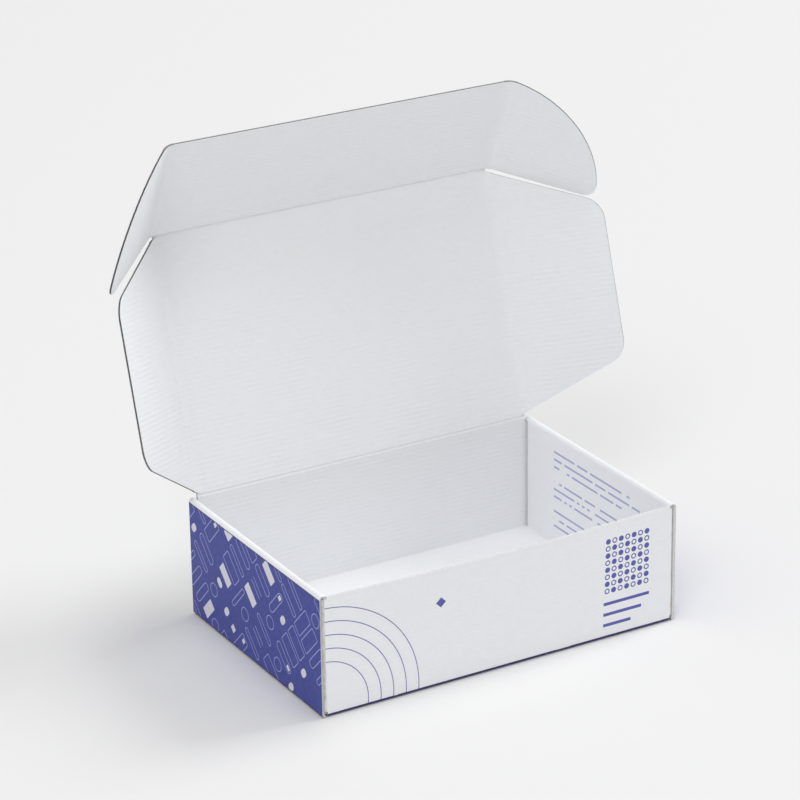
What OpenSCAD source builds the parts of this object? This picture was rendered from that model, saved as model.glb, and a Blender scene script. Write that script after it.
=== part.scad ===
// Corrugated mailer box with double side walls and a tuck-in lid, standing open.
// X runs along the front wall, Y from the front wall to the back wall, Z is up.
// The origin is the middle of the underside. All sizes are in millimetres.
// The tray is one folded sheet. The lid and its flaps turn on the middle of the board,
// so each crease has a round edge on one panel and a small gap before the next.

/* [Part to show] */
// Piece to draw, or all of them

/* [Tray] */
// Outer width along the front wall
box_w = 260; // [200:1:360]
// Outer depth from the front wall to the back wall
box_d = 173; // [130:1:260]
// Height of the rolled side walls
wall_h = 82; // [60:1:130]
// How far the front wall stays below the side walls
front_drop = 1; // [0.5:0.1:3]

/* [Board] */
// Thickness of the corrugated board
board = 1.5; // [1.2:0.1:1.8]
// Inner radius of a folded corner
bend_r = 0.7; // [0.5:0.1:1]
// Play on each side of a tab between two layers
layer_fit = 0.1; // [0.05:0.05:0.3]
// Gap at a moving crease, after its round edge
crease_gap = 0.15; // [0.1:0.01:0.2]

/* [Tabs inside the side walls] */
// Length of each corner tab
tab_l = 52; // [30:1:60]
// Gap between a corner tab and the floor
tab_lift = 1.5; // [1:0.1:4]
// Gap from the front or back wall to the inner side wall
inner_gap = 1.2; // [0.5:0.1:4]
// Width of each locking tab
lock_w = 30; // [16:1:40]
// Distance of each locking tab from the middle
lock_y = 38; // [24:1:44]
// Play around a locking tab in its slot
slot_fit = 0.25; // [0.15:0.05:0.4]

/* [Lid] */
// Angle of the lid from closed
lid_angle = 107; // [80:1:150]
// Play of the tucked front flap behind the front wall
front_fit = 0.4; // [0.2:0.1:1]
// Play of a tucked side flap inside its wall
side_fit = 0.2; // [0.2:0.1:1]
// Gap left under the tucked flaps
flap_lift = 4.5; // [2:0.5:10]
// Gap that parts a side flap from an ear, at the crease
slit = 2; // [1.6:0.1:3]
// How far an ear's crease stands outside that of the side flap
ear_step = 1.7; // [1.6:0.1:2.4]

/* [Side flaps] */
// Fold of the left side flap, out of the lid's plane
side_angle_left = 44; // [10:1:60]
// Fold of the right side flap, out of the lid's plane
side_angle_right = 44; // [10:1:60]
// How far each slanted end runs in along the lid
side_taper = 31; // [15:1:36]
// Corner radius
side_r = 16; // [6:1:20]

/* [Front flap and ears] */
// Fold of the front flap, out of the lid's plane
front_angle = 41; // [10:1:50]
// Fold of the left ear, out of the front flap's plane
ear_angle_left = 44; // [10:1:60]
// Fold of the right ear, out of the front flap's plane
ear_angle_right = 44; // [10:1:60]
// Radius of an ear's tip
tip_r = 9; // [5:1:12]
// Slant of an ear's free edge, away from the side flap
ear_slant = 3; // [2:0.2:6]

/* [Hidden] */
$fn = 96;
paper = "#e6e8eb";
paper_lid = "#dfe1e5";
paper_flap = "#d6d8dc";

corner_r = board + bend_r;
roll_w = 3 * board + 2 * layer_fit;
roll_r = roll_w / 2;
// outer face of a corner tab, and where the flat of the front wall ends
tab_x = box_w / 2 - board - layer_fit;
flat_x = tab_x - corner_r;
tab_top = wall_h - roll_r - layer_fit;
tab_bottom = corner_r + tab_lift;
front_h = wall_h - front_drop;
// the front wall is lower where the rolled walls run over it
under_roll_x = box_w / 2 - roll_w - layer_fit;

hinge_y = box_d / 2 - board / 2;
hinge_z = wall_h + board / 2;
lid_l = box_d - 2 * board - front_fit;
side_x = box_w / 2 - roll_w - side_fit - board / 2;
ear_x = side_x + ear_step;
flap_l = wall_h - board - flap_lift;
crease = board / 2 + crease_gap;

// a quarter of the rounded corner, in the first quadrant
module bend_section() {
    intersection() {
        difference() {
            circle(r = corner_r);
            circle(r = bend_r);
        }
        square(corner_r);
    }
}

// the half ring on top of a side wall
module roll_section() {
    intersection() {
        difference() {
            circle(r = roll_r);
            circle(r = roll_r - board);
        }
        translate([-roll_r, 0]) square([roll_w, roll_r]);
    }
}

// the right side wall seen from the front: corner at the floor, outer wall and roll
module outer_wall_section() {
    translate([box_w / 2 - corner_r, corner_r]) mirror([0, 1]) bend_section();
    translate([box_w / 2 - board, corner_r]) square([board, wall_h - roll_r - corner_r]);
    translate([box_w / 2 - roll_r, wall_h - roll_r]) roll_section();
}

// extrudes a section drawn in X and Z, centred on Y
module along_y(length) {
    translate([0, length / 2, 0]) rotate([90, 0, 0]) linear_extrude(length) children();
}

// extrudes a section drawn in Y and Z, centred on X
module along_x(length) {
    translate([-length / 2, 0, 0]) rotate([90, 0, 90]) linear_extrude(length) children();
}

module side_wall() {
    along_y(box_d) outer_wall_section();
    along_y(box_d - 2 * (corner_r + inner_gap))
        translate([box_w / 2 - roll_w, board]) square([board, wall_h - roll_r - board]);
    for (y = [-lock_y, lock_y])
        translate([box_w / 2 - roll_w, y - lock_w / 2, board / 6])
            cube([board, lock_w, board]);
}

module floor_panel() {
    difference() {
        translate([corner_r - box_w / 2, corner_r - box_d / 2, 0])
            cube([box_w - 2 * corner_r, box_d - 2 * corner_r, board]);
        for (side = [0, 1])
            mirror([side, 0, 0])
                for (y = [-lock_y, lock_y])
                    translate([
                        box_w / 2 - roll_w - slot_fit,
                        y - lock_w / 2 - slot_fit,
                        -board
                    ])
                        cube([board + 2 * slot_fit, lock_w + 2 * slot_fit, 3 * board]);
    }
}

// a single wall with a tab round each corner, built at the front
module end_wall() {
    along_x(2 * flat_x)
        translate([corner_r - box_d / 2, corner_r]) mirror([0, 1]) mirror([1, 0]) bend_section();
    translate([-flat_x, -box_d / 2, corner_r])
        cube([2 * flat_x, board, tab_top - corner_r]);
    for (side = [0, 1])
        mirror([side, 0, 0]) {
            translate([flat_x, corner_r - box_d / 2, tab_bottom])
                mirror([0, 1, 0]) linear_extrude(tab_top - tab_bottom) bend_section();
            translate([tab_x - board, corner_r - box_d / 2, tab_bottom])
                cube([board, tab_l, tab_top - tab_bottom]);
        }
}

module tray() {
    color(paper) {
        floor_panel();
        for (side = [0, 1])
            mirror([side, 0, 0]) side_wall();
        for (end = [0, 1])
            mirror([0, end, 0]) end_wall();
        // the front wall rises between the rolls
        translate([-under_roll_x, -box_d / 2, tab_top - board])
            cube([2 * under_roll_x, board, front_h - tab_top + board]);
        // the back wall rises to the crease of the lid
        translate([-side_x, box_d / 2 - board, tab_top - board])
            cube([2 * side_x, board, hinge_z - tab_top + board]);
        translate([-side_x, hinge_y, hinge_z])
            rotate([0, 90, 0]) cylinder(h = 2 * side_x, d = board);
    }
}

// places children on the lid: X across, Y from the hinge outwards, Z to the inside
module on_lid() {
    translate([0, hinge_y, hinge_z]) rotate([180 - lid_angle, 0, 0]) children();
}

module on_front_flap() {
    on_lid() translate([0, lid_l, 0]) rotate([front_angle, 0, 0]) children();
}

// a flat piece of board drawn in X and Y, centred on its thickness
module sheet() {
    translate([0, 0, -board / 2]) linear_extrude(board) children();
}

// the round edge of a crease, along Y from y0 to y1
module edge_along_y(x, y0, y1) {
    translate([x, y0, 0]) rotate([-90, 0, 0]) cylinder(h = y1 - y0, d = board);
}

module lid_panel() {
    color(paper_lid) on_lid() {
        sheet() translate([-side_x, crease]) square([2 * side_x, lid_l - crease]);
        for (side = [-1, 1])
            edge_along_y(side * side_x, crease, lid_l);
        translate([-side_x, lid_l, 0]) rotate([0, 90, 0]) cylinder(h = 2 * side_x, d = board);
    }
}

// outline of a side flap, from its crease at X = 0
module side_flap_outline() {
    low = [crease, slit];
    low_out = [flap_l, slit + side_taper];
    high_out = [flap_l, lid_l - slit - side_taper];
    high = [crease, lid_l - slit];
    slope = atan2(side_taper, flap_l - crease);
    half = (90 + slope) / 2;
    run = side_r / tan(half);
    along = [cos(slope), sin(slope)];
    polygon([
        low,
        low_out - run * along,
        low_out + [0, run],
        high_out - [0, run],
        high_out - run * [along[0], -along[1]],
        high
    ]);
    translate([flap_l - side_r, low_out[1] + run]) circle(r = side_r);
    translate([flap_l - side_r, high_out[1] - run]) circle(r = side_r);
}

module side_flap(fold) {
    color(paper_lid)
        translate([side_x, 0, 0]) rotate([0, -fold, 0]) sheet() side_flap_outline();
}

module side_flap_right() {
    on_lid() side_flap(side_angle_right);
}

module side_flap_left() {
    on_lid() mirror([1, 0, 0]) side_flap(side_angle_left);
}

module front_flap() {
    color(paper_flap) on_front_flap() {
        sheet() translate([-ear_x, crease]) square([2 * ear_x, flap_l - crease]);
        for (side = [-1, 1])
            edge_along_y(side * ear_x, crease, flap_l);
    }
}

// outline of an ear: a quarter disc with a rounded tip, from its crease at X = 0
module ear_outline() {
    ear_r = flap_l - slit / 2;
    tip_x = sqrt(pow(ear_r - tip_r, 2) - pow(tip_r, 2));
    reach = ear_r / (ear_r - tip_r);
    translate([0, slit / 2]) {
        intersection() {
            circle(r = ear_r);
            translate([crease, 0]) square(2 * ear_r);
            rotate(ear_slant)
                polygon([
                    [0, 0], [tip_x, 0], [tip_x * reach, tip_r * reach],
                    [2 * ear_r, 2 * ear_r], [-ear_r, 2 * ear_r]
                ]);
        }
        rotate(ear_slant) translate([tip_x, tip_r]) circle(r = tip_r);
    }
}

module ear(fold) {
    color(paper_flap)
        translate([ear_x, 0, 0]) rotate([0, -fold, 0]) sheet() ear_outline();
}

module ear_right() {
    on_front_flap() ear(ear_angle_right);
}

module ear_left() {
    on_front_flap() mirror([1, 0, 0]) ear(ear_angle_left);
}

tray();
lid_panel();
side_flap_left();
side_flap_right();
front_flap();
ear_left();
ear_right();
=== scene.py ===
# %% [markdown]
# # A corrugated mailer box, standing open
# The real box is one sheet of white-lined corrugated board, cut, creased and folded.
# The frame that is loaded here holds the plain solids of the box, and the bodies that move.
# This scene dresses them: every panel becomes two paper liners with a wavy layer between,
# every crease becomes a strip that bends, and the outside gets its blue print.
# All lengths are in metres, in the frame of the solids, unless a step says otherwise.

# %% Load the frame
import math

import bpy
from mathutils import Matrix, Vector


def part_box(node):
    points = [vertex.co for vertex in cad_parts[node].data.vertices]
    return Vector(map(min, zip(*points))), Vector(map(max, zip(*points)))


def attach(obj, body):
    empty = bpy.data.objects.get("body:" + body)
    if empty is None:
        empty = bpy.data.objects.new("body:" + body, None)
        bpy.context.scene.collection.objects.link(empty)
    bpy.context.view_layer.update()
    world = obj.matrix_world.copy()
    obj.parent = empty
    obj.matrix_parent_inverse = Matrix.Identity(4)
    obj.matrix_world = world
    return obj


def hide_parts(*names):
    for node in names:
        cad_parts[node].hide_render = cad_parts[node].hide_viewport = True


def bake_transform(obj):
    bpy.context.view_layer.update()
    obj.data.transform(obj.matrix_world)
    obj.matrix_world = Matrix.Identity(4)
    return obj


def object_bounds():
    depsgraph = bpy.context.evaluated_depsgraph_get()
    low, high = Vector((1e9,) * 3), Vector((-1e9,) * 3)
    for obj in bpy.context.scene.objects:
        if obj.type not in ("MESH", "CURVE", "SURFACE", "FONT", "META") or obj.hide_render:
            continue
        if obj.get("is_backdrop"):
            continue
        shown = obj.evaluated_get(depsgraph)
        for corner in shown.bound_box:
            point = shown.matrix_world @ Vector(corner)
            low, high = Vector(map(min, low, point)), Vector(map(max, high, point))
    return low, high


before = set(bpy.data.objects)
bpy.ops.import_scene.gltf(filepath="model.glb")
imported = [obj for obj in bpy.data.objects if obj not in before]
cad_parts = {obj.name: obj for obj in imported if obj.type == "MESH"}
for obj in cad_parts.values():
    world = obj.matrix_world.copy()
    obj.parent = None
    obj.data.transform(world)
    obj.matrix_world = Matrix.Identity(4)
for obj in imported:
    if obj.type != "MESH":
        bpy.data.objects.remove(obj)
cad_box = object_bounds()
MM = 0.001

# %% [markdown]
# ## The camera
# It stands in front of the box's left corner and looks down a little, through a long lens,
# so that upright edges stay nearly parallel. Its place was fitted to the corners of the box.

# %% Set the camera
camera_data = bpy.data.cameras.new("camera")
camera_data.lens = 153.0
camera_data.sensor_width = 36.0
camera = bpy.data.objects.new("camera", camera_data)
camera.location = (-1.00818, -1.71217, 0.97050)
camera.rotation_euler = [math.radians(a) for a in (67.6115, 0.843, -30.2892)]
bpy.context.scene.collection.objects.link(camera)
bpy.context.scene.camera = camera
print("camera distance", round(camera.location.length, 3))

# %% [markdown]
# ## The sizes of the folded sheet
# A sheet is drawn as its middle surface, which has no thickness. A sheet's normals point to
# the inside of the box, so its printed side is the one behind them. The tray's size is read
# from its solid. The rest follows from the board's thickness, from the radius of its folds
# and from the play that folded layers need beside each other.

# %% Name the sizes
BOX_X, BOX_Y, HINGE_TOP = (round(c / MM, 2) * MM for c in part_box("tray")[1])
BOARD = 1.5 * MM
HALF = BOARD / 2
FOLD = HALF + 0.7 * MM
OUTER_R = FOLD + HALF
LAYER_PLAY = 0.1 * MM

# the walls, and how the layers of a side wall lie
WALL_H = HINGE_TOP - BOARD
FRONT_H = WALL_H - 1.0 * MM
BEND_X = BOX_X - OUTER_R
BEND_Y = BOX_Y - OUTER_R
ROLL_W = 3 * BOARD + 2 * LAYER_PLAY
ROLL = ROLL_W / 2 - HALF
ROLL_TOP = WALL_H - ROLL_W / 2
UNDER_ROLL_X = BOX_X - ROLL_W - LAYER_PLAY
INNER_X = BOX_X - ROLL_W + HALF
INNER_Y = BEND_Y - 1.2 * MM

# the corner tabs between the layers, and the tabs that lock into the floor
FLAT_X = BEND_X - BOARD - LAYER_PLAY
TAB_LOW = OUTER_R + 1.5 * MM
TAB_TOP = ROLL_TOP - LAYER_PLAY
TAB_L = 52.0 * MM
LOCK_IN = 23.0 * MM
LOCK_OUT = 53.0 * MM
LOCK_DEPTH = 1.25 * MM
SLOT_PLAY = 0.25 * MM

# the lid with its flaps and ears
HINGE = Vector((0, BOX_Y - HALF, WALL_H + HALF))
LID_L = 2 * (BOX_Y - BOARD) - 0.4 * MM
SIDE_X = INNER_X - BOARD - 0.2 * MM
EAR_X = SIDE_X + 1.7 * MM
FLAP_L = WALL_H - BOARD - 4.5 * MM
SLIT = 2.0 * MM
LID_LEAN = math.radians(17)
SIDE_FOLD = math.radians(44)
FRONT_FOLD = math.radians(41)
EAR_FOLD = math.radians(44)
CREASE = 1.6 * MM
SOFT = 5.0 * MM
SIDE_TAPER = 31.0 * MM
SIDE_R = 16.0 * MM

QUARTER = math.radians(90)
SMOOTH = math.radians(35)
FOLD_STEPS = 6
ROLL_STEPS = 14
print("the tray is", round(2 * BOX_X / MM, 1), "by", round(2 * BOX_Y / MM, 1), "mm")
print("the lid is", round(2 * SIDE_X / MM, 1), "by", round(LID_L / MM, 1), "mm")

# %% [markdown]
# ## Working in edit mode
# An operator acts on all that is selected, so each step first deselects everything.
# Faces, edges and points are picked by their place, which needs no look at the screen.

# %% Select whole pieces, or parts of one
def only(*pieces):
    bpy.ops.object.select_all(action="DESELECT")
    for piece in pieces:
        piece.select_set(True)
    bpy.context.view_layer.objects.active = pieces[0]


def pick(piece, what, test):
    """Opens the piece in edit mode with the parts selected whose middle passes the test."""
    only(piece)
    bpy.ops.object.mode_set(mode="EDIT")
    bpy.ops.mesh.select_mode(type=what)
    bpy.ops.mesh.select_all(action="DESELECT")
    bpy.ops.object.mode_set(mode="OBJECT")
    mesh = piece.data
    points = [v.co for v in mesh.vertices]
    parts = {"VERT": mesh.vertices, "EDGE": mesh.edges, "FACE": mesh.polygons}[what]
    for part in parts:
        corners = [part.index] if what == "VERT" else part.vertices
        middle = sum((points[i] for i in corners), Vector()) / len(corners)
        part.select = bool(test(middle))
    bpy.ops.object.mode_set(mode="EDIT")


def done():
    bpy.ops.object.mode_set(mode="OBJECT")


def near(a, b, gap=0.05 * MM):
    return abs(a - b) < gap


def extrude(x=0.0, y=0.0, z=0.0):
    bpy.ops.mesh.extrude_region_move(TRANSFORM_OT_translate={"value": (x, y, z)})


def apply_modifier(piece, kind, **settings):
    only(piece)
    modifier = piece.modifiers.new(kind, kind)
    for key, value in settings.items():
        setattr(modifier, key, value)
    bpy.ops.object.modifier_apply(modifier=modifier.name)


def copy_of(piece, name):
    only(piece)
    bpy.ops.object.duplicate()
    twin = bpy.context.active_object
    twin.name = name
    return twin


def join(name, pieces):
    only(*pieces)
    bpy.ops.object.join()
    piece = bpy.context.active_object
    piece.name = piece.data.name = name
    return piece


def place(piece, matrix):
    """Moves a piece to its place and keeps that place in its mesh."""
    only(piece)
    piece.matrix_world = matrix
    bpy.ops.object.transform_apply()


def grid(name, x0, x1, y0, y1, nx=1, ny=1):
    """A flat sheet of nx by ny faces at height 0."""
    bpy.ops.object.select_all(action="DESELECT")
    bpy.ops.mesh.primitive_grid_add(x_subdivisions=nx, y_subdivisions=ny, size=1)
    piece = bpy.context.active_object
    piece.name = name
    piece.scale = (x1 - x0, y1 - y0, 1)
    piece.location = ((x0 + x1) / 2, (y0 + y1) / 2, 0)
    bpy.ops.object.transform_apply()
    return piece


def block(x, y, width, length, depth):
    """A solid block, whose middle is at height 0."""
    bpy.ops.object.select_all(action="DESELECT")
    bpy.ops.mesh.primitive_cube_add(size=1)
    piece = bpy.context.active_object
    piece.scale = (width, length, depth)
    piece.location = (x, y, 0)
    bpy.ops.object.transform_apply()
    return piece


# %% [markdown]
# ## One material function
# Nodes are added by one small function, with their settings and their links. Colours are
# written as sRGB hex values, as a colour picker shows them, and turned to linear once.

# %% Colours and nodes
def colour(hex_value):
    parts = [int(hex_value[i:i + 2], 16) / 255 for i in (1, 3, 5)]
    return [c / 12.92 if c <= 0.04045 else ((c + 0.055) / 1.055) ** 2.4 for c in parts] + [1.0]


def node(tree, kind, *links, **settings):
    """Adds a node. Links go to its inputs in order, or by name, as outputs or plain values."""
    new = tree.nodes.new("ShaderNode" + kind)
    named = settings.pop("named", {})
    for key, value in settings.items():
        setattr(new, key, value)
    pairs = list(zip(new.inputs, links)) + [(new.inputs[k], v) for k, v in named.items()]
    for socket, value in pairs:
        if isinstance(value, bpy.types.Node):
            value = value.outputs[0]
        if isinstance(value, bpy.types.NodeSocket):
            tree.links.new(value, socket)
        else:
            socket.default_value = value
    return new


def new_material(name, roughness, specular):
    material = bpy.data.materials.new(name)
    material.use_nodes = True
    tree = material.node_tree
    shader = tree.nodes["Principled BSDF"]
    shader.inputs["Roughness"].default_value = roughness
    shader.inputs["Specular IOR Level"].default_value = specular
    return material, tree, shader


# %% [markdown]
# ## White clay-coated liner
# The face paper of such board is bleached and has a thin coat of clay, so it is a cool
# white, smooth and nearly matt. The flutes behind it print through as faint ridges, one for
# each flute of 3.25 mm. The paper's own cloudiness is a very weak mottling.

# %% Make the liner's surface
PITCH = 3.25 * MM
COATED = {"roughness": 0.52, "specular": 0.35}


def liner_surface(tree, shader, ridge):
    """Adds the ridges and the fine paper grain, and returns the mottling from 0 to 1."""
    uv = node(tree, "TexCoord").outputs["UV"]
    solid = node(tree, "TexCoord").outputs["Object"]
    along = node(tree, "SeparateXYZ", uv).outputs[1]
    turns = node(tree, "Math", along, 2 * math.pi / PITCH, operation="MULTIPLY")
    wave = node(tree, "Math", turns, operation="SINE")
    patchy = node(tree, "TexNoise", named={"Vector": solid, "Scale": 95.0, "Detail": 2.0})
    amount = node(tree, "MapRange", patchy, 0.35, 0.65, 0.15, 1.0)
    waves = node(tree, "Math", wave, amount, operation="MULTIPLY")
    grain = node(tree, "TexNoise", named={"Vector": solid, "Scale": 1400.0, "Detail": 3.0})
    ridges = node(tree, "Bump", named={"Height": waves, "Strength": ridge, "Distance": 0.07 * MM})
    fine = node(tree, "Bump", named={
        "Height": grain, "Strength": 0.25, "Distance": 0.02 * MM, "Normal": ridges})
    tree.links.new(fine.outputs[0], shader.inputs["Normal"])
    cloud = node(tree, "TexNoise", named={"Vector": solid, "Scale": 260.0, "Detail": 4.0})
    return node(tree, "MapRange", cloud, 0.35, 0.65, 0.0, 1.0)


WHITE, tree, shader = new_material("clay_coated_white_liner", **COATED)
mottling = liner_surface(tree, shader, 1.0)
tint = node(tree, "Mix", data_type="RGBA", named={
    "Factor": mottling, 6: colour("#eef0f2"), 7: colour("#f0f1f3")})
tree.links.new(tint.outputs[2], shader.inputs["Base Color"])
print("made", WHITE.name)

# %% [markdown]
# ## Kraft paper inside
# The wavy layer and the back of the liners are grey recycled kraft. It shows only at the raw
# edges, as a fine grey line with dark flute mouths in it.

# %% Make the kraft paper
KRAFT, tree, shader = new_material("recycled_kraft_fluting", roughness=0.9, specular=0.2)
solid = node(tree, "TexCoord").outputs["Object"]
fibre = node(tree, "TexNoise", named={"Vector": solid, "Scale": 2200.0, "Detail": 4.0})
kraft_tint = node(tree, "ValToRGB", fibre)
kraft_tint.color_ramp.elements[0].position = 0.3
kraft_tint.color_ramp.elements[0].color = colour("#757170")
kraft_tint.color_ramp.elements[1].position = 0.7
kraft_tint.color_ramp.elements[1].color = colour("#9f9b9a")
tree.links.new(kraft_tint.outputs[0], shader.inputs["Base Color"])
rough_bump = node(tree, "Bump", named={"Height": fibre, "Strength": 0.5, "Distance": 0.04 * MM})
tree.links.new(rough_bump.outputs[0], shader.inputs["Normal"])
print("made", KRAFT.name)

# %% [markdown]
# The cut edge of a liner shows the paper's pale middle. Where a wall turns round a tight
# corner the clay coat cracks, and warm fibres show through it in short upright streaks.

# %% Make the cut paper edge and the cracked fold
EDGE, tree, shader = new_material("cut_liner_edge", roughness=0.85, specular=0.2)
solid = node(tree, "TexCoord").outputs["Object"]
fibre = node(tree, "TexNoise", named={"Vector": solid, "Scale": 900.0, "Detail": 3.0})
edge_tint = node(tree, "ValToRGB", fibre)
edge_tint.color_ramp.elements[0].position = 0.35
edge_tint.color_ramp.elements[0].color = colour("#d6d5d5")
edge_tint.color_ramp.elements[1].position = 0.6
edge_tint.color_ramp.elements[1].color = colour("#e9e9ea")
tree.links.new(edge_tint.outputs[0], shader.inputs["Base Color"])

WORN, tree, shader = new_material("cracked_fold_of_white_liner", roughness=0.7, specular=0.5)
solid = node(tree, "TexCoord").outputs["Object"]
stretched = node(tree, "VectorMath", solid, (1.0, 1.0, 0.22), operation="MULTIPLY")
crack = node(tree, "TexNoise", named={"Vector": stretched, "Scale": 900.0, "Detail": 3.0})
worn_tint = node(tree, "ValToRGB", crack)
worn_tint.color_ramp.elements[0].position = 0.38
worn_tint.color_ramp.elements[0].color = colour("#c3beb6")
worn_tint.color_ramp.elements[1].position = 0.62
worn_tint.color_ramp.elements[1].color = colour("#e4e1dd")
tree.links.new(worn_tint.outputs[0], shader.inputs["Base Color"])
worn_bump = node(tree, "Bump", named={"Height": crack, "Strength": 0.5, "Distance": 0.05 * MM})
tree.links.new(worn_bump.outputs[0], shader.inputs["Normal"])
print("made", EDGE.name, "and", WORN.name)

# %% [markdown]
# ## Blue print on the outer side walls and the underside
# A flexo-printed blue field, with shapes that lie at 45 degrees to the edges: long thin
# rounded frames, rings, strokes, and a few filled blocks and ovals. The field is divided
# into squares, and each square into two lanes, which a random number lays along it or across
# it. Each lane holds one shape, or none, chosen by another random number. The pattern is
# generic. Its lines are about as fine as such print gets, and lengths are in millimetres.

# %% Draw the shapes of the blue field
SQUARE = 24.0
DIAGONAL = 0.785
LINE = 0.27


def lanes(tree, spot):
    """Returns the place from the middle of a lane, and two random numbers of that lane."""
    leaning = node(tree, "VectorRotate", spot, rotation_type="Z_AXIS", named={"Angle": DIAGONAL})
    scaled = node(tree, "VectorMath", leaning, operation="SCALE", named={"Scale": 1 / SQUARE})
    square = node(tree, "VectorMath", scaled, operation="FLOOR")
    within = node(tree, "VectorMath", scaled, square, operation="SUBTRACT")
    from_middle = node(tree, "VectorMath", within, (0.5, 0.5, 0.0), operation="SUBTRACT")
    way = node(tree, "TexWhiteNoise", noise_dimensions="2D", named={"Vector": square})
    across = node(tree, "Math", way, 0.5, operation="GREATER_THAN")
    angle = node(tree, "Math", across, math.pi / 2, operation="MULTIPLY")
    turned = node(tree, "VectorRotate", from_middle, rotation_type="Z_AXIS", named={"Angle": angle})
    axes = node(tree, "SeparateXYZ", turned)
    doubled = node(tree, "Math", axes.outputs[1], 2.0, operation="MULTIPLY")
    lane = node(tree, "Math", doubled, operation="FLOOR")
    beside = node(tree, "Math", node(tree, "Math", doubled, lane, operation="SUBTRACT"), 0.5,
                  operation="SUBTRACT")
    place_in_lane = node(tree, "CombineXYZ", axes.outputs[0],
                         node(tree, "Math", beside, 0.5, operation="MULTIPLY"))
    here = node(tree, "VectorMath", place_in_lane, operation="SCALE", named={"Scale": SQUARE})
    which = node(tree, "VectorMath", square, node(tree, "CombineXYZ", 0.0, 0.0, lane),
                 operation="ADD")
    chance = node(tree, "TexWhiteNoise", noise_dimensions="3D", named={"Vector": which})
    second = node(tree, "SeparateColor", chance.outputs["Color"]).outputs[1]
    return here, chance.outputs["Value"], second


def frame_distance(tree, spot, half_x, half_y, corner):
    """Distance to a rounded frame: below 0 inside it, and 0 on its line."""
    flat = node(tree, "VectorMath", spot, operation="ABSOLUTE")
    over = node(tree, "VectorMath", flat, (half_x - corner, half_y - corner, 0), operation="SUBTRACT")
    outside = node(tree, "VectorMath", over, (0, 0, 0), operation="MAXIMUM")
    reach = node(tree, "VectorMath", outside, operation="LENGTH").outputs["Value"]
    return node(tree, "Math", reach, corner, operation="SUBTRACT")


def outline_of(tree, distance, line=LINE):
    return node(tree, "Math", distance, 0.0, line, operation="COMPARE")


def inside_of(tree, distance):
    return node(tree, "Math", distance, 0.0, operation="LESS_THAN")


def one_of(tree, number, shapes):
    """Shows one of the shapes in each lane: shapes are pairs of a share and a mask."""
    mask, low = None, 0.0
    for share, shape in shapes:
        this = node(tree, "Math", number, low + share / 2, share / 2, operation="COMPARE")
        part = node(tree, "Math", this, shape, operation="MULTIPLY")
        mask = part if mask is None else node(tree, "Math", mask, part, operation="MAXIMUM")
        low += share
    return mask


def drawn_shapes(tree, here, number):
    """Fine lines: long, wide and slim frames, rings, and pairs of strokes."""
    flat = node(tree, "VectorMath", here, operation="ABSOLUTE")
    beside = node(tree, "VectorMath", flat, (0.0, 2.0, 0.0), operation="SUBTRACT")
    return one_of(tree, number, (
        (0.20, outline_of(tree, frame_distance(tree, here, 11.0, 2.9, 2.9))),
        (0.17, outline_of(tree, frame_distance(tree, here, 10.4, 4.6, 1.0))),
        (0.12, outline_of(tree, frame_distance(tree, here, 11.2, 1.8, 1.8))),
        (0.12, outline_of(tree, frame_distance(tree, here, 4.6, 4.6, 4.6))),
        (0.10, inside_of(tree, frame_distance(tree, beside, 7.0, 0.28, 0.2))),
    ))


def filled_shapes(tree, here, number, second):
    """Filled blocks and ovals in other lanes, and a filled cap in some of the long frames."""
    rest = node(tree, "Math", 1.0, number, operation="SUBTRACT")
    at_end = node(tree, "VectorMath", here, (7.4, 0.0, 0.0), operation="SUBTRACT")
    cap = inside_of(tree, frame_distance(tree, at_end, 2.0, 1.5, 0.4))
    capped = node(tree, "Math", cap, node(tree, "Math", second, 0.6, operation="GREATER_THAN"),
                  operation="MULTIPLY")
    long_only = one_of(tree, number, ((0.37, capped),))
    alone = one_of(tree, rest, (
        (0.09, inside_of(tree, frame_distance(tree, here, 7.6, 3.9, 0.7))),
        (0.09, inside_of(tree, frame_distance(tree, here, 3.6, 2.6, 2.4))),
        (0.05, inside_of(tree, frame_distance(tree, here, 2.4, 2.4, 0.5))),
    ))
    return node(tree, "Math", long_only, alone, operation="MAXIMUM")


# %% [markdown]
# The ink lies a little unevenly on the board. Where the wall rolls over, the print ends at the
# crease. There, and where the wall turns under, a dark band is painted in: painted shade of the
# crease and a painted contact shadow at the foot.

# %% Print the blue field
ROLL_CREASE = 79.0 * MM
FOOT_Z = 1.0 * MM
FOOT_HALF = 0.9 * MM

BLUE, tree, shader = new_material("blue_flexo_print_on_liner", roughness=0.5, specular=0.35)
mottling = liner_surface(tree, shader, 0.35)
uv = node(tree, "TexCoord").outputs["UV"]
spot = node(tree, "VectorMath", uv, operation="SCALE", named={"Scale": 1000.0})
here, number, second = lanes(tree, spot)
lines = drawn_shapes(tree, here, number)
fills = filled_shapes(tree, here, number, second)
solid = node(tree, "TexCoord").outputs["Object"]
height = node(tree, "SeparateXYZ", solid).outputs[2]
# painted shade: a dark navy band above the roll's crease and along the foot stands in for the
# crease's shade and the contact shadow on the floor
under_roll = node(tree, "Math", height, ROLL_CREASE, operation="GREATER_THAN")
at_foot = node(tree, "Math", height, FOOT_Z, FOOT_HALF, operation="COMPARE")
painted_shade_band = node(tree, "Math", under_roll, at_foot, operation="MAXIMUM")
ink = node(tree, "Mix", data_type="RGBA", named={
    "Factor": mottling, 6: colour("#3b4394"), 7: colour("#424aa0")})
lined = node(tree, "Mix", data_type="RGBA", named={
    "Factor": lines, 6: ink.outputs[2], 7: colour("#a6abe0")})
filled = node(tree, "Mix", data_type="RGBA", named={
    "Factor": fills, 6: lined.outputs[2], 7: colour("#dddee9")})
ink_with_painted_shade = node(tree, "Mix", data_type="RGBA", named={
    "Factor": painted_shade_band, 6: filled.outputs[2], 7: colour("#2b2d63")})
tree.links.new(ink_with_painted_shade.outputs[2], shader.inputs["Base Color"])
print("made", BLUE.name, "with", len(tree.nodes), "nodes")

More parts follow.
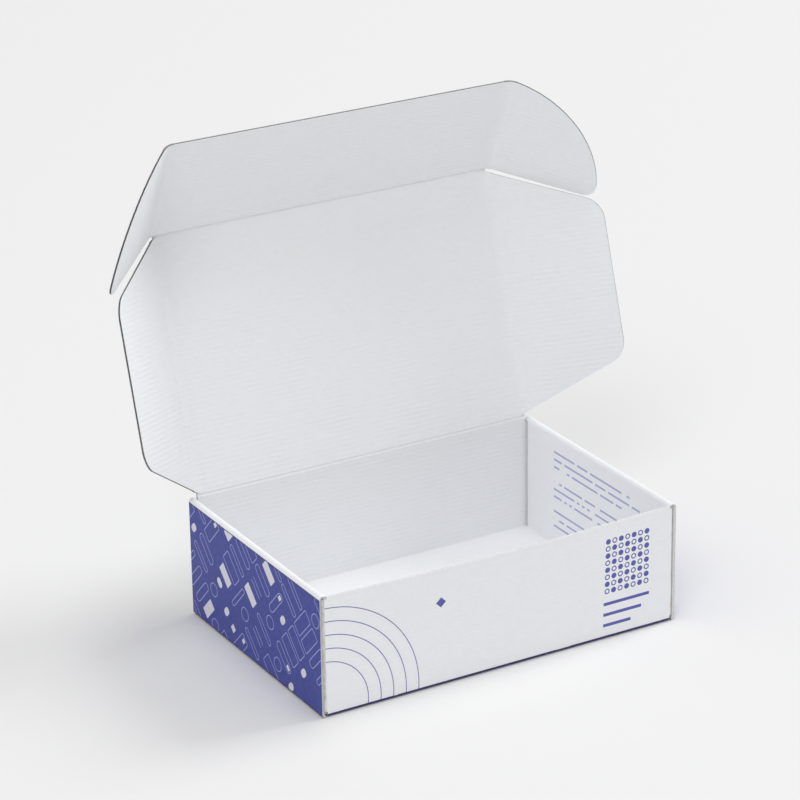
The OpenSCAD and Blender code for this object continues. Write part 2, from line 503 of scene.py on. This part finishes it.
# %% [markdown]
# ## Print on the front wall
# The front is white with a few blue shapes: nested arcs that come in from the left edge, a
# small filled rhomb, an upright field of rings and dots, and three plain bars under it.
# Each shape is a distance from a point or a box, compared with a size in millimetres.

# %% Draw the front print
ARC_STEP = 9.0
ARC_MIDDLE = (-129, 6, 0)
RHOMB_MIDDLE = (-46, 58, 0)
RING_STEP = 5.0
FIELD_LEFT = 75.0
FIELD_RIGHT = 110.0
FIELD_LOW = 31.0
FIELD_HIGH = 71.0
BAR_HEIGHT = 2.2
BARS = ((110, 23.4), (104, 15.9), (96, 8.4))


def bar_shape(tree, spot, left, right, low, high):
    middle = ((left + right) / 2, (low + high) / 2, 0)
    here = node(tree, "VectorMath", spot, middle, operation="SUBTRACT")
    return inside_of(tree, frame_distance(tree, here, (right - left) / 2, (high - low) / 2, 0.2))


def nested_arcs(tree, spot):
    """Fine arcs round a point at the foot of the wall's left end."""
    reach = node(tree, "VectorMath", spot, ARC_MIDDLE, operation="DISTANCE").outputs["Value"]
    step = node(tree, "Math", reach, ARC_STEP, operation="MODULO")
    line = node(tree, "Math", step, ARC_STEP / 2, 0.28, operation="COMPARE")
    shown = node(tree, "Math", reach, 47.5, 20.5, operation="COMPARE")
    return node(tree, "Math", line, shown, operation="MULTIPLY")


def ring_lattice(tree, spot):
    """Rings and dots by turns, in an upright field."""
    corner = (FIELD_LEFT, FIELD_LOW, 0)
    from_corner = node(tree, "VectorMath", spot, corner, operation="SUBTRACT")
    cell = node(tree, "VectorMath", from_corner, [RING_STEP] * 3, operation="MODULO")
    here = node(tree, "VectorMath", cell, (RING_STEP / 2, RING_STEP / 2, 0), operation="SUBTRACT")
    flat = node(tree, "VectorMath", here, (1, 1, 0), operation="MULTIPLY")
    ring = outline_of(tree, frame_distance(tree, flat, 1.55, 1.55, 1.55), 0.4)
    dot = inside_of(tree, frame_distance(tree, flat, 1.9, 1.9, 1.9))
    index = node(tree, "VectorMath", from_corner, operation="SCALE", named={
        "Scale": 1 / RING_STEP})
    whole = node(tree, "SeparateXYZ", node(tree, "VectorMath", index, operation="FLOOR"))
    total = node(tree, "Math", whole.outputs[0], whole.outputs[1], operation="ADD")
    odd = node(tree, "Math", total, 2.0, operation="FLOORED_MODULO")
    mixed = node(tree, "Mix", data_type="FLOAT", named={"Factor": odd, 2: ring, 3: dot})
    field = bar_shape(tree, spot, FIELD_LEFT, FIELD_RIGHT, FIELD_LOW, FIELD_HIGH)
    return node(tree, "Math", mixed, field, operation="MULTIPLY")


def front_shapes(tree, spot):
    """The front wall's print: spot is X and Z in millimetres, and the result is a mask."""
    here = node(tree, "VectorMath", spot, RHOMB_MIDDLE, operation="SUBTRACT")
    lean = node(tree, "VectorRotate", here, rotation_type="Z_AXIS", named={"Angle": DIAGONAL})
    mask = inside_of(tree, frame_distance(tree, lean, 2.5, 2.5, 0.2))
    shapes = [nested_arcs(tree, spot), ring_lattice(tree, spot)]
    for right, low in BARS:
        shapes.append(bar_shape(tree, spot, FIELD_LEFT, right, low, low + BAR_HEIGHT))
    for shape in shapes:
        mask = node(tree, "Math", mask, shape, operation="MAXIMUM")
    return mask


PRINTED, tree, shader = new_material("white_liner_with_blue_print", **COATED)
mottling = liner_surface(tree, shader, 0.5)
# painted light: the white under this print is a little lighter than the plain liner, so that the
# front wall comes out brighter
tint = node(tree, "Mix", data_type="RGBA", named={
    "Factor": mottling, 6: colour("#f1f2f5"), 7: colour("#f3f4f7")})
uv = node(tree, "TexCoord").outputs["UV"]
spot = node(tree, "VectorMath", uv, operation="SCALE", named={"Scale": 1000.0})
mask = front_shapes(tree, spot)
printed = node(tree, "Mix", data_type="RGBA", named={
    "Factor": mask, 6: tint.outputs[2], 7: colour("#5a60ab")})
tree.links.new(printed.outputs[2], shader.inputs["Base Color"])
print("made", PRINTED.name, "with", len(tree.nodes), "nodes")

# %% [markdown]
# ## Print on the right inner wall
# Rows of plain ragged bars, printed pale and small, in blocks of three. A random number
# sets where each row ends, and another one leaves small gaps in it.

# %% Draw the inner print
LINE_STEP = 5.4 * MM
FIRST_LINE = 71.8 * MM
LINE_START = 50 * MM
SHORT_END = -28 * MM
LONG_END = -58 * MM
PIECE_L = 3.1 * MM

INNER, tree, shader = new_material("white_liner_with_blue_bars", **COATED)
mottling = liner_surface(tree, shader, 0.5)
# painted light: the same lighter white as the front wall, so that this inner wall comes out brighter
# than the plain liner would
tint = node(tree, "Mix", data_type="RGBA", named={
    "Factor": mottling, 6: colour("#f1f2f5"), 7: colour("#f3f4f7")})
solid = node(tree, "TexCoord").outputs["Object"]
axes = node(tree, "SeparateXYZ", solid)
below = node(tree, "Math", FIRST_LINE, axes.outputs[2], operation="SUBTRACT")
rows = node(tree, "Math", below, LINE_STEP, operation="DIVIDE")
row = node(tree, "Math", rows, operation="FLOOR")
within = node(tree, "Math", rows, operation="FRACT")
bar = node(tree, "Math", within, 0.45, 0.13, operation="COMPARE")
ragged = node(tree, "TexWhiteNoise", noise_dimensions="1D", named={"W": row})
end = node(tree, "MapRange", ragged.outputs["Value"], 0.0, 1.0, LONG_END, SHORT_END)
start_ok = node(tree, "Math", axes.outputs[1], LINE_START, operation="LESS_THAN")
end_ok = node(tree, "Math", axes.outputs[1], end, operation="GREATER_THAN")
row_of_four = node(tree, "Math", row, 4.0, operation="FLOORED_MODULO")
block_ok = node(tree, "Math", row_of_four, 2.5, operation="LESS_THAN")
pieces_along = node(tree, "Math", axes.outputs[1], PIECE_L, operation="DIVIDE")
piece_of_row = node(tree, "Math", pieces_along, operation="FLOOR")
place_in_row = node(tree, "CombineXYZ", piece_of_row, row)
broken = node(tree, "TexWhiteNoise", noise_dimensions="2D", named={"Vector": place_in_row})
broken_ok = node(tree, "Math", broken.outputs["Value"], 0.2, operation="GREATER_THAN")
top_ok = node(tree, "Math", row, -0.5, operation="GREATER_THAN")
low_ok = node(tree, "Math", row, 10.5, operation="LESS_THAN")
mask = bar
for part in (start_ok, end_ok, block_ok, top_ok, low_ok, broken_ok):
    mask = node(tree, "Math", mask, part, operation="MULTIPLY")
printed = node(tree, "Mix", data_type="RGBA", named={
    "Factor": mask, 6: tint.outputs[2], 7: colour("#a9aed6")})
tree.links.new(printed.outputs[2], shader.inputs["Base Color"])
print("made", INNER.name, "with", len(tree.nodes), "nodes")

# %% [markdown]
# ## From a middle surface to corrugated board
# The two liners are the middle surface moved out to each side and given thickness. The wavy
# layer is a finely divided copy whose rows are pushed up and down along a sine, because no
# operator makes a sine. Its first and last rows stand across the board and close its end.

# %% Give a sheet its liners and its wave
LINER = 0.25 * MM
WAVE = 0.39 * MM
WAVE_PAPER = 0.2 * MM
ROWS = 8
SLOTS = [WHITE, KRAFT, BLUE, PRINTED, INNER, EDGE, WORN]
S_WHITE, S_KRAFT, S_BLUE, S_PRINTED, S_INNER, S_EDGE, S_WORN = range(7)


def dress(piece, slot):
    piece.data.materials.clear()
    for material in SLOTS:
        piece.data.materials.append(material)
    for face in piece.data.polygons:
        face.material_index = slot


def add_liners(sheet):
    """Two thin shells, with kraft towards the core and pale cut paper at their rims.

    The solidify modifier lists a sheet's own faces, then as many backs, then the rim.
    """
    made = []
    for side in (1, -1):
        liner = copy_of(sheet, sheet.name + "_liner")
        before = [face.normal.copy() for face in liner.data.polygons]
        apply_modifier(liner, "SOLIDIFY", thickness=LINER,
                       offset=side * (2 * HALF / LINER - 1), use_even_offset=True)
        count = len(before)
        for i, face in enumerate(liner.data.polygons):
            if i >= 2 * count:
                face.material_index = S_EDGE
                continue
            facing = face.normal.dot(before[i % count])
            if facing * side < 0:
                face.material_index = S_KRAFT
        made.append(liner)
    return made


def rows_for(length):
    """Rows of faces for a whole number of flutes, and one more row at each end."""
    return ROWS * round(length / PITCH - 2 / ROWS) + 2


def add_wave(sheet, place_of, start, stop, end_slot=S_EDGE):
    """The fluting: a copy of the sheet, whose rows move along its normals by a sine.

    The end rows close the edge, as the leg of a cut flute does, and show the end slot.
    """
    wave = copy_of(sheet, sheet.name + "_wave")
    mesh = wave.data
    count = rows_for(stop - start)
    step = (stop - start) / count
    last = [min(place_of(f.center) - start, stop - place_of(f.center)) < step for f in mesh.polygons]
    normals = [v.normal.copy() for v in mesh.vertices]
    for v, normal in zip(mesh.vertices, normals):
        row = round((place_of(v.co) - start) / step)
        turn = 2 * math.pi * (row - 1) / ROWS
        v.co += normal * (-WAVE if row in (0, count) else WAVE * math.cos(turn))
    apply_modifier(wave, "SOLIDIFY", thickness=WAVE_PAPER, offset=0.0)
    for i, face in enumerate(wave.data.polygons):
        closes = i < 2 * len(last) and last[i % len(last)]
        face.material_index = end_slot if closes else S_KRAFT
    return wave


def sheet_uv(piece, across, along):
    """Lays the UV map flat in metres: across and along give a point's place, by its face."""
    mesh = piece.data
    layer = mesh.uv_layers.active or mesh.uv_layers.new(name="sheet")
    for face in mesh.polygons:
        for loop in face.loop_indices:
            point = mesh.vertices[mesh.loops[loop].vertex_index].co
            layer.data[loop].uv = (across(point, face.normal), along(point, face.normal))


# %% [markdown]
# ## The tray: floor, front and back
# The tray is folded as the real one is. The floor is a flat sheet. Its front and back edges
# are spun up through a quarter circle and extruded into walls, and the walls' ends are spun
# inwards into the corner tabs that the side walls will hide.

# %% Fold the floor, the front wall and the back wall
WALL_COLUMNS = 24
WALL_ROWS = 12
ends = grid("tray_ends", -SIDE_X, SIDE_X, -BEND_Y, BEND_Y, nx=WALL_COLUMNS)
place(ends, Matrix.Translation((0, 0, HALF)))
for start, stop in ((SIDE_X, UNDER_ROLL_X), (UNDER_ROLL_X, FLAT_X), (FLAT_X, BEND_X)):
    for side in (-1, 1):
        pick(ends, "EDGE", lambda p: near(p.x, side * start))
        extrude(x=side * (stop - start))
        done()

for end in (-1, 1):
    pick(ends, "EDGE", lambda p: near(p.y, end * BEND_Y) and abs(p.x) < FLAT_X)
    bpy.ops.mesh.spin(steps=FOLD_STEPS, angle=-end * QUARTER, axis=(1, 0, 0),
                      center=(0, end * BEND_Y, HALF + FOLD))
    extrude(z=TAB_LOW - HALF - FOLD)
    for _ in range(WALL_ROWS):
        extrude(z=(TAB_TOP - TAB_LOW) / WALL_ROWS)
    done()
    for side in (-1, 1):
        pick(ends, "EDGE", lambda p: near(p.x, side * FLAT_X) and p.z > TAB_LOW + 0.1 * MM
             and near(p.y, end * (BOX_Y - HALF)))
        bpy.ops.mesh.spin(steps=FOLD_STEPS, angle=side * end * QUARTER, axis=(0, 0, 1),
                          center=(side * FLAT_X, end * BEND_Y, 0))
        extrude(y=-end * TAB_L)
        done()
    top, half = (HINGE.z - CREASE, SIDE_X) if end > 0 else (FRONT_H, UNDER_ROLL_X)
    pick(ends, "EDGE", lambda p: near(p.z, TAB_TOP) and near(p.y, end * (BOX_Y - HALF))
         and abs(p.x) < half)
    extrude(z=top - TAB_TOP)
    done()
print("points in the folded ends:", len(ends.data.vertices))

# %% [markdown]
# The front wall of a light box never stays flat. Its free top edge bows outwards in the
# middle, where nothing holds it, and the bow dies away towards the corners and the floor.

# %% Bow the front wall
BOW = 4.0 * MM


def bow(p):
    """How far a point of the front wall moves along Y."""
    across = max(0.0, 1 - (p.x / FLAT_X) ** 2)
    return -BOW * across ** 1.5 * (p.z / WALL_H) ** 1.6


def bow_front(piece):
    for v in piece.data.vertices:
        if v.co.y < -BEND_Y - FOLD / 2 and abs(v.co.x) < FLAT_X:
            v.co.y += bow(v.co)


bow_front(ends)

# %% Make board of the ends
dress(ends, S_WHITE)
parts = add_liners(ends)
for end in (-1, 1):
    top, half = (HINGE.z - CREASE, SIDE_X) if end > 0 else (FRONT_H, UNDER_ROLL_X)
    low = HALF + FOLD
    wall = grid("tray_wall", -half, half, low, top, nx=WALL_COLUMNS, ny=rows_for(top - low))
    place(wall, Matrix.Translation((0, end * (BOX_Y - HALF), 0)) @ Matrix.Rotation(QUARTER, 4, "X"))
    if end < 0:
        bow_front(wall)
    dress(wall, S_KRAFT)
    parts.append(add_wave(wall, lambda p: p.z, low, top))
    bpy.data.objects.remove(wall)
bpy.data.objects.remove(ends)
ends = join("tray_ends", parts)
print("faces in the ends:", len(ends.data.polygons))

# %% [markdown]
# The floor has a slot for each locking tab. Four blocks are cut out of the finished board.

# %% Cut the slots
def cut(piece, cutter, operation):
    apply_modifier(piece, "BOOLEAN", object=cutter, operation=operation, solver="EXACT")
    bpy.data.objects.remove(cutter)


slots = []
for side in (-1, 1):
    for end in (-1, 1):
        slot = block(side * INNER_X, end * (LOCK_IN + LOCK_OUT) / 2,
                     BOARD + 2 * SLOT_PLAY, LOCK_OUT - LOCK_IN + 2 * SLOT_PLAY, 4 * BOARD)
        dress(slot, S_KRAFT)
        slots.append(slot)
cut(ends, join("slots", slots), "DIFFERENCE")

# %% [markdown]
# ## The tray: a side wall
# A side wall is one strip of the same sheet. It turns up at the floor, runs up as the outer
# wall, rolls over through a half circle and comes down as the inner wall, and its two
# locking tabs go into the floor. The left side is the right one, mirrored.

# %% Fold the right side wall
def side_sheet(name, rows=1, cuts=()):
    """The side wall's middle surface, in even rows, or cut across Y where its outline steps."""
    sheet = grid(name, HALF + FOLD, ROLL_TOP, -BOX_Y, BOX_Y, ny=rows)
    place(sheet, Matrix.Translation((BOX_X - HALF, 0, 0)) @ Matrix.Rotation(-QUARTER, 4, "Y"))
    for y in cuts:
        pick(sheet, "FACE", lambda p: True)
        bpy.ops.mesh.bisect(plane_co=(0, y, 0), plane_no=(0, 1, 0))
        done()
    pick(sheet, "EDGE", lambda p: near(p.z, HALF + FOLD))
    bpy.ops.mesh.spin(steps=FOLD_STEPS, angle=-QUARTER, axis=(0, 1, 0),
                      center=(BEND_X, 0, HALF + FOLD))
    done()
    pick(sheet, "EDGE", lambda p: near(p.z, ROLL_TOP))
    bpy.ops.mesh.spin(steps=ROLL_STEPS, angle=2 * QUARTER, axis=(0, 1, 0),
                      center=(BOX_X - HALF - ROLL, 0, ROLL_TOP))
    done()
    pick(sheet, "EDGE", lambda p: near(p.z, ROLL_TOP) and near(p.x, INNER_X)
         and abs(p.y) < INNER_Y)
    extrude(z=BOARD - ROLL_TOP)
    done()
    pick(sheet, "EDGE", lambda p: near(p.z, BOARD) and near(p.x, INNER_X)
         and LOCK_IN < abs(p.y) < LOCK_OUT)
    extrude(z=-LOCK_DEPTH)
    done()
    return sheet


steps_at = [s * y for y in (LOCK_IN, LOCK_OUT, INNER_Y) for s in (-1, 1)]
side_coarse = side_sheet("tray_side", cuts=steps_at)
dress(side_coarse, S_WHITE)
parts = add_liners(side_coarse)
side_fine = side_sheet("tray_side_rows", rows=rows_for(2 * BOX_Y))
dress(side_fine, S_KRAFT)
parts.append(add_wave(side_fine, lambda p: p.y, -BOX_Y, BOX_Y))
bpy.data.objects.remove(side_coarse)
bpy.data.objects.remove(side_fine)
side_right = join("tray_side_right", parts)
print("faces in a side wall:", len(side_right.data.polygons))


def mirrored(piece, name):
    twin = copy_of(piece, name)
    twin.scale.x = -1
    bpy.ops.object.transform_apply()
    pick(twin, "FACE", lambda p: True)
    bpy.ops.mesh.normals_make_consistent(inside=False)
    done()
    return twin


side_left = mirrored(side_right, "tray_side_left")

# %% [markdown]
# The print goes on by place: the outer side walls and the whole underside are blue, the
# front is white with shapes, and the rolls and the inner faces are white, apart from the bars
# on the right one. The folds at the upright corners are cracked.

# %% Join the tray and lay its print
SKIN = 0.1 * MM


def shown_slot(face):
    """The paper that a liner's face shows, by where it is and which way it looks."""
    c, n = face.center, face.normal
    looks_out = n.dot(Vector((c.x, c.y, -1)).normalized()) > 0
    under = c.z < SKIN or abs(c.x) > BEND_X or abs(c.y) > BEND_Y
    at_corner = FLAT_X < abs(c.x) < BOX_X - BOARD and TAB_LOW < c.z < TAB_TOP
    if c.z < HALF + FOLD and looks_out and under:
        return S_BLUE
    if abs(c.x) > BOX_X - SKIN and c.z < ROLL_TOP:
        return S_BLUE
    if at_corner and 0.3 < abs(n.x) < 0.99 and c.x * n.x > 0:
        return S_WORN
    if n.y < -0.7 and c.y < -BOX_Y + SKIN:
        return S_PRINTED
    if c.x > 0 and n.x < -0.7 and near(c.x, INNER_X - HALF, 2 * SKIN):
        return S_INNER
    return face.material_index


tray = join("tray_board", [ends, side_left, side_right])
for face in tray.data.polygons:
    if face.material_index not in (S_KRAFT, S_EDGE):
        face.material_index = shown_slot(face)
sheet_uv(tray,
         lambda p, n: p.x if abs(n.y) > 0.7 or abs(n.z) > 0.7 else p.z,
         lambda p, n: p.z if abs(n.y) > 0.7 else p.y)
only(tray)
bpy.ops.object.shade_smooth_by_angle(angle=SMOOTH)
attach(tray, "tray")
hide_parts("tray")
print("tray faces:", len(tray.data.polygons))

# %% [markdown]
# ## Flat panels
# A flat panel is drawn lying down, X across and Y from its crease outwards, with its inside
# up. It gets its liners and its wave, is cut to its outline by a solid block of that shape,
# as a die cuts board, and is then turned to its place.

# %% Make a flat panel
def panel(name, x0, x1, y0, y1, outline=None):
    coarse = grid(name, x0, x1, y0, y1)
    dress(coarse, S_WHITE)
    parts = add_liners(coarse)
    fine = grid(name + "_rows", x0, x1, y0, y1, ny=rows_for(y1 - y0))
    dress(fine, S_KRAFT)
    parts.append(add_wave(fine, lambda p: p.y, y0, y1, S_KRAFT))
    bpy.data.objects.remove(coarse)
    bpy.data.objects.remove(fine)
    board = join(name, parts)
    if outline:
        dress(outline, S_EDGE)
        cut(board, outline, "INTERSECT")
        for face in board.data.polygons:
            if face.material_index == S_EDGE and abs(face.center.z) < HALF - LINER:
                face.material_index = S_KRAFT
    sheet_uv(board, lambda p, n: p.x, lambda p, n: p.y)
    return board


def set_on(piece, matrix, body, node_name):
    place(piece, matrix)
    only(piece)
    bpy.ops.object.shade_smooth_by_angle(angle=SMOOTH)
    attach(piece, body)
    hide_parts(node_name)


ON_LID = Matrix.Translation(HINGE) @ Matrix.Rotation(QUARTER - LID_LEAN, 4, "X")
LID_FRONT = ON_LID @ Matrix.Translation((0, LID_L, 0))
ON_FLAP = LID_FRONT @ Matrix.Rotation(FRONT_FOLD, 4, "X")

lid = panel("lid_board", -SIDE_X + SOFT, SIDE_X - SOFT, CREASE, LID_L - CREASE)
set_on(lid, ON_LID, "lid", "lid_panel")
front = panel("front_flap_board", -EAR_X + SOFT, EAR_X - SOFT, CREASE, FLAP_L)
set_on(front, ON_FLAP, "front_flap", "front_flap")

# %% [markdown]
# ## Side flaps
# Each side flap is a plate whose ends run in at a slant, with round corners.

# %% Cut the side flaps
CUTTER_DEPTH = 4 * MM
slope = math.atan2(SIDE_TAPER, FLAP_L - HALF)
run = SIDE_R / math.tan((QUARTER + slope) / 2)
length = LID_L - 2 * SLIT
outline = block(FLAP_L / 2, LID_L / 2, FLAP_L, length, CUTTER_DEPTH)
pick(outline, "VERT", lambda p: p.x > FLAP_L / 2)
bpy.ops.transform.resize(value=(1, (length - 2 * SIDE_TAPER) / length, 1),
                         center_override=(FLAP_L, LID_L / 2, 0))
done()
pick(outline, "EDGE", lambda p: near(p.x, FLAP_L) and near(p.z, 0) and abs(p.y - LID_L / 2) > MM)
bpy.ops.mesh.bevel(offset=run, segments=14, offset_type="OFFSET")
done()
flap_right = panel("side_flap_board_right", SOFT, FLAP_L + MM, 0, LID_L, outline)
place(flap_right, ON_LID @ Matrix.Translation((SIDE_X, 0, 0)) @ Matrix.Rotation(-SIDE_FOLD, 4, "Y"))
flap_left = mirrored(flap_right, "side_flap_board_left")
for piece, hand in ((flap_left, "left"), (flap_right, "right")):
    set_on(piece, Matrix(), "side_flap_" + hand, "side_flap_" + hand)
print("faces in a side flap:", len(flap_right.data.polygons))

# %% [markdown]
# ## Ears
# An ear is a quarter disc. Its free edge rises a little, so that it passes the side flap.
# The sharp tip is cut off along a chord, between the two points where a small disc touches
# the free edge and the big arc, and that small disc is added as the round tip.

# %% Cut the ears
EAR_R = FLAP_L - SLIT / 2
TIP_R = 9.0 * MM
EAR_SLANT = math.radians(3)


def disc(radius, x=0.0, y=0.0, sides=128):
    bpy.ops.object.select_all(action="DESELECT")
    bpy.ops.mesh.primitive_cylinder_add(vertices=sides, radius=radius, depth=CUTTER_DEPTH,
                                        location=(x, y, 0))
    bpy.ops.object.transform_apply()
    return bpy.context.active_object


def bisect_away(piece, point, normal):
    """Cuts the piece by a plane and takes off the side that the normal points to."""
    pick(piece, "FACE", lambda p: True)
    bpy.ops.mesh.bisect(plane_co=point, plane_no=normal, use_fill=True, clear_outer=True)
    done()


tip_x = math.sqrt((EAR_R - TIP_R) ** 2 - TIP_R ** 2)
tangent = Vector((tip_x, TIP_R, 0)) * (EAR_R / (EAR_R - TIP_R))
quarter = disc(EAR_R)
bisect_away(quarter, (0, 0, 0), (math.sin(EAR_SLANT), -math.cos(EAR_SLANT), 0))
chord = (tangent - Vector((tip_x, 0, 0))).normalized()
chord.rotate(Matrix.Rotation(EAR_SLANT, 3, "Z"))
foot = Matrix.Rotation(EAR_SLANT, 3, "Z") @ Vector((tip_x, 0, 0))
bisect_away(quarter, foot, (chord.y, -chord.x, 0))
tip_at = Matrix.Rotation(EAR_SLANT, 3, "Z") @ Vector((tip_x, TIP_R, 0))
cut(quarter, disc(TIP_R, tip_at.x, tip_at.y, 64), "UNION")
place(quarter, Matrix.Translation((0, SLIT / 2, 0)))
ear_right = panel("ear_board_right", SOFT, FLAP_L + MM, 0, FLAP_L + MM, quarter)
place(ear_right, ON_FLAP @ Matrix.Translation((EAR_X, 0, 0)) @ Matrix.Rotation(-EAR_FOLD, 4, "Y"))
ear_left = mirrored(ear_right, "ear_board_left")
for piece, hand in ((ear_left, "left"), (ear_right, "right")):
    set_on(piece, Matrix(), "ear_" + hand, "ear_" + hand)
print("faces in an ear:", len(ear_right.data.polygons))

# %% [markdown]
# ## Creases
# At a crease the board is crushed thin and the liners run on from panel to panel. The
# long creases in front and at the back are pressed in, and show as fine grooves. Those of the
# side flaps and the ears give way softly over a centimetre. Each is a strip that is drawn
# flat and bent to an arc between its two panels.

# %% Bend the crease strips
GROOVE = 0.7 * MM
ROW_STEP = 0.2 * MM
FEWEST_ROWS = 14
HINGE_PRESS = 0.4 * MM
FRONT_PRESS = 1.0 * MM
EAR_PRESS = 0.15 * MM


def crease(name, half, reach, fold, press, matrix, bodies, flutes):
    """Makes a strip that reaches half to each side of its crease, and is bent by fold.

    reach gives where it starts and ends along the crease, by the way across it. press is how
    deep the groove is. flutes gives the place across the flutes, for the ridges.
    """
    rows = max(FEWEST_ROWS, round(half / ROW_STEP))
    strip = grid(name, 0, 1, -half, half, nx=6, ny=rows)
    dress(strip, S_WHITE)
    apply_modifier(strip, "SOLIDIFY", thickness=BOARD, offset=0.0)
    mesh = strip.data
    for face in mesh.polygons:
        if abs(face.normal.z) < 0.5:
            face.material_index = S_KRAFT
    for v in mesh.vertices:
        start, stop = reach(v.co.y)
        v.co.x = start + (stop - start) * v.co.x
    sheet_uv(strip, lambda p, n: p.x, lambda p, n: flutes(p))
    radius = half / math.tan(fold / 2)
    for v in mesh.vertices:
        way, side = v.co.y, v.co.z
        side += press * math.exp(-(way / GROOVE) ** 2) * (0.5 if side < 0 else -1.0)
        turn = (way / half + 1) / 2 * fold
        v.co.y = -half + (radius - side) * math.sin(turn)
        v.co.z = radius - (radius - side) * math.cos(turn)
    mesh.update()
    place(strip, matrix)
    only(strip)
    bpy.ops.object.shade_smooth_by_angle(angle=SMOOTH)
    middle = sum(reach(0.0)) / 2
    start = matrix @ Vector((middle, -half, 0))
    stop = matrix @ Vector((middle, half * math.cos(fold), half * math.sin(fold)))
    strips = [(strip, bodies, start, stop)]
    if "right" in name:
        twin = mirrored(strip, name.replace("right", "left"))
        flip = Matrix.Scale(-1, 4, (1, 0, 0))
        hands = [b.replace("right", "left") for b in bodies]
        strips.append((twin, hands, flip @ start, flip @ stop))
    for piece, (a, b), begin, finish in strips:
        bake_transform(piece)


def beside_flap(way):
    """The side flap's slanted ends begin within its crease strip."""
    cut_in = max(0.0, way - HALF) * SIDE_TAPER / (FLAP_L - HALF)
    gap = SLIT if way > 0 else CREASE
    return gap + cut_in - LID_L, -gap - cut_in


def beside_ear(way):
    """The ear's free edge and its round edge begin within its crease strip too."""
    low = SLIT / 2 + max(0.0, way) * math.tan(EAR_SLANT)
    return -SLIT / 2 - math.sqrt(EAR_R ** 2 - max(0.0, way) ** 2), -low


SIDEWAYS = Matrix.Rotation(-QUARTER, 4, "Z")
crease("hinge_crease", CREASE, lambda way: (-SIDE_X, SIDE_X), -LID_LEAN, HINGE_PRESS,
       Matrix.Translation(HINGE) @ Matrix.Rotation(QUARTER, 4, "X"), ("tray", "lid"),
       lambda p: p.y)
crease("front_crease", CREASE, lambda way: (-SIDE_X, SIDE_X), FRONT_FOLD, FRONT_PRESS,
       LID_FRONT, ("lid", "front_flap"), lambda p: p.y)
crease("side_crease_right", SOFT, beside_flap, SIDE_FOLD, 0.0,
       ON_LID @ Matrix.Translation((SIDE_X, 0, 0)) @ SIDEWAYS, ("lid", "side_flap_right"),
       lambda p: -p.x)
crease("ear_crease_right", SOFT, beside_ear, EAR_FOLD, EAR_PRESS,
       ON_FLAP @ Matrix.Translation((EAR_X, 0, 0)) @ SIDEWAYS, ("front_flap", "ear_right"),
       lambda p: -p.x)

# %% [markdown]
# ## Floor and light
# The floor is a wide pale sheet. The light is soft and even: a white sky, a broad lamp
# straight above, a second one at the right, and a weaker one at the left front that opens the
# shade. They are kept so low that white board that lies level doesn't turn to plain white.

# %% Lay the floor and set the sky
GROUND_SIZE = 14.0
GROUND_GAP = 0.2 * MM
SKY = 0.54

bpy.ops.object.select_all(action="DESELECT")
bpy.ops.mesh.primitive_plane_add(size=GROUND_SIZE, location=(0, 0, -GROUND_GAP))
ground = bpy.context.active_object
ground.name = "ground"
GROUND, tree, shader = new_material("pale_studio_floor", roughness=0.9, specular=0.1)
shader.inputs["Base Color"].default_value = colour("#e7e7e7")
ground.data.materials.append(GROUND)
ground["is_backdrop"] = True

world = bpy.data.worlds.new("sky")
bpy.context.scene.world = world
world.use_nodes = True
world.node_tree.nodes["Background"].inputs[0].default_value = (1, 1, 1, 1)
world.node_tree.nodes["Background"].inputs[1].default_value = SKY

# %% [markdown]
# A lamp is a wide disc that looks at the box. Its place is given by the way round from the
# front, by its height above the floor, both in degrees, and by its power.

# %% Hang the lamps
LAMPS = (
    ("top_lamp", 0, 88, 300),
    ("right_lamp", 90, 35, 600),
    ("left_front_lamp", -45, 45, 285),
)
LAMP_SIZE = 5.5
REACH = 12.0
TARGET = Vector((0, 0, 0.1))
for name, turn, height, power in LAMPS:
    turn, height = math.radians(turn), math.radians(height)
    spot = (REACH * math.cos(height) * math.sin(turn), -REACH * math.cos(height) * math.cos(turn),
            TARGET.z + REACH * math.sin(height))
    data = bpy.data.lights.new(name, "AREA")
    data.shape = "DISK"
    data.size = LAMP_SIZE
    data.energy = power
    lamp = bpy.data.objects.new(name, data)
    lamp.location = spot
    lamp.rotation_euler = (TARGET - Vector(spot)).to_track_quat("-Z", "Y").to_euler()
    bpy.context.scene.collection.objects.link(lamp)
bpy.context.scene.view_settings.view_transform = "Standard"

# %% Print the sizes and finish
shown_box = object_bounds()
for name, box in (("solids", cad_box), ("scene", shown_box)):
    print(name, [[round(c / MM, 1) for c in p] for p in box])
